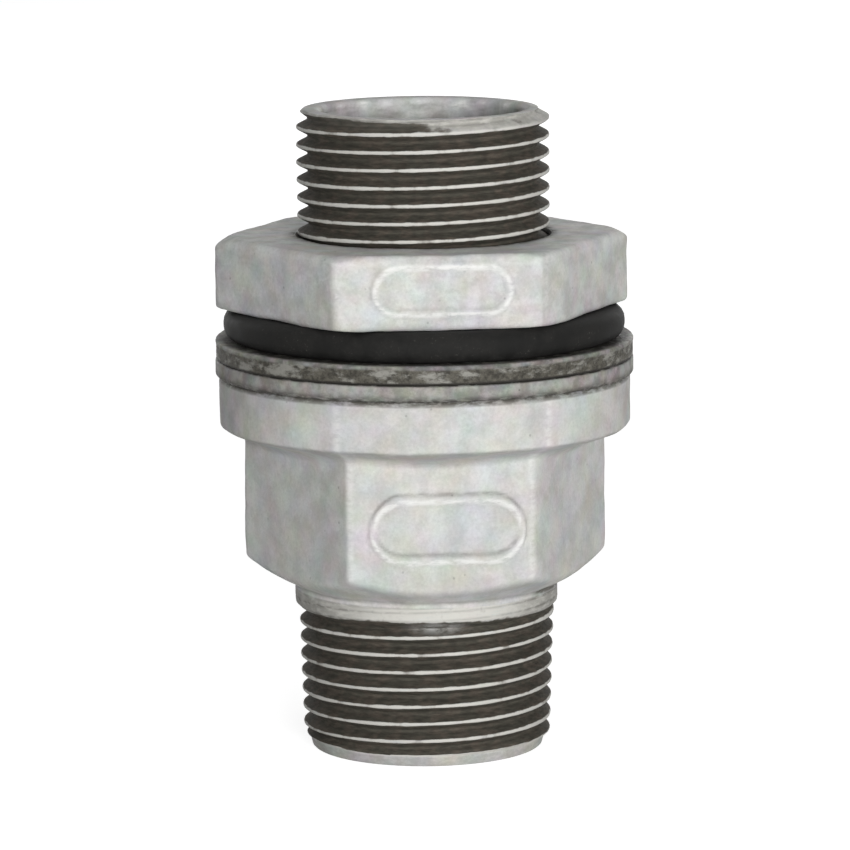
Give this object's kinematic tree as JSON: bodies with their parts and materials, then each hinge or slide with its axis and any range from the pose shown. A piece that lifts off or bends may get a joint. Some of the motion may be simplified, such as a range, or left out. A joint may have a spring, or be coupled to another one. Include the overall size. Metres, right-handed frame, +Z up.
{
  "type": "tank connector",
  "caption": "Flanged pipe connector for a tank wall: a hexagon body with a parallel and a taper male thread, steel washers, a rubber gasket and a backnut.",
  "frame": {"origin": "centre of the lower end, on the axis of the water way, where the fitting stands", "axes": "+Z up the axis from the taper thread to the open end of the barrel; -Y is the normal of the hexagon flat that carries the capsule outline; +X to its right"},
  "size_m": [0.0553, 0.0552, 0.085],
  "materials": {
    "galvanised_casting": "hot-dip galvanised casting, threads cut bare after dipping",
    "galvanised_nut": "hot-dip galvanised casting",
    "thin_washer_steel": "punched sheet steel, zinc coated",
    "thick_washer_steel": "punched plate, rough dark sheared edge with patches of zinc",
    "gasket_rubber": "moulded black rubber"
  },
  "bodies": {
    "fitting": {"fitting_body": "galvanised_casting"},
    "thin_washer": {"thin_washer": "thin_washer_steel"},
    "thick_washer": {"thick_washer": "thick_washer_steel"},
    "gasket": {"rubber_gasket": "gasket_rubber"},
    "backnut": {"backnut": "galvanised_nut"}
  },
  "joints": [
    {"name": "thin_washer_turn", "type": "hinge", "parent": "fitting", "child": "thin_washer", "pos_m": [0, 0, 0.0512], "axis": [0, 0, 1], "continuous": true},
    {"name": "thick_washer_turn", "type": "hinge", "parent": "fitting", "child": "thick_washer", "pos_m": [0, 0, 0.05355], "axis": [0, 0, 1], "continuous": true},
    {"name": "nut_rise", "type": "slide", "parent": "fitting", "child": "gasket", "axis": [0, 0, 1], "range_m": [0, 0.0231]},
    {"name": "nut_turn", "type": "hinge", "parent": "gasket", "child": "backnut", "pos_m": [0, 0, 0.05875], "axis": [0, 0, 1], "range_deg": [0, 3600]}
  ],
  "couplings": [
    {"joint": "nut_rise", "follows": "nut_turn", "m_per_rad": 0.00036749}
  ]
}
